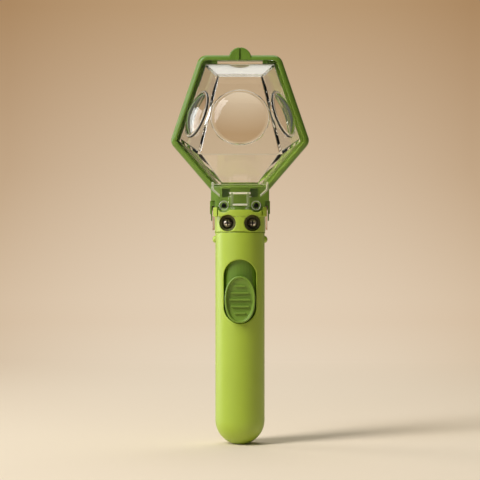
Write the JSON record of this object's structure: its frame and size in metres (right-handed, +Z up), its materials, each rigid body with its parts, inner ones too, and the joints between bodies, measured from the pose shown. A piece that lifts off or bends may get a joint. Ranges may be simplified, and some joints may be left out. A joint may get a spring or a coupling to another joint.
{
  "type": "bug catcher",
  "caption": "Hand-held insect catcher and viewer: clear faceted chamber with magnifying lenses on a round grip, and a trap door opened by a thumb slide.",
  "frame": {"origin": "middle of the small flat at the foot of the grip", "axes": "+Z up along the grip to the head, -Y towards the viewer who reads the front lens, +X to that viewer's right"},
  "size_m": [0.0896, 0.0511, 0.2576],
  "materials": {
    "lime_plastic": "satin injection-moulded, yellow green",
    "leaf_green_plastic": "semi-gloss injection-moulded, leaf green",
    "pad_green_plastic": "satin injection-moulded, mid green",
    "clear_acrylic": "polished clear acrylic",
    "bright_steel": "zinc-plated steel",
    "black_steel": "black-oxide steel"
  },
  "bodies": {
    "handle": {"grip_front_shell": "lime_plastic", "grip_back_shell": "lime_plastic", "collar": "lime_plastic", "head_frame": "leaf_green_plastic", "chamber": "clear_acrylic", "front_lens": "clear_acrylic", "left_lens": "clear_acrylic", "right_lens": "clear_acrylic", "collar_screw_left": "bright_steel", "collar_screw_right": "bright_steel", "lug_screw_left": "black_steel", "lug_screw_right": "black_steel", "side_pin_left": "lime_plastic", "side_pin_right": "lime_plastic", "grip_screw_lower": "bright_steel", "grip_screw_upper": "bright_steel", "click_spring": "bright_steel"},
    "slider": {"thumb_pad": "pad_green_plastic", "slide_carriage": "leaf_green_plastic", "rack_bar": "leaf_green_plastic", "pad_screw": "bright_steel", "rack_screw": "bright_steel"},
    "door": {"trap_door": "clear_acrylic", "hinge_shaft": "bright_steel", "door_sector": "leaf_green_plastic"}
  },
  "joints": [
    {"name": "thumb_slide", "type": "slide", "parent": "handle", "child": "slider", "axis": [0, 0, 1], "range_m": [0, 0.0101]},
    {"name": "door_hinge", "type": "hinge", "parent": "handle", "child": "door", "pos_m": [0, 0.0083, 0.1534], "axis": [-1, 0, 0], "range_deg": [0, 68.1]}
  ],
  "couplings": [
    {"joint": "door_hinge", "follows": "thumb_slide", "rad_per_m": 117.65}
  ]
}
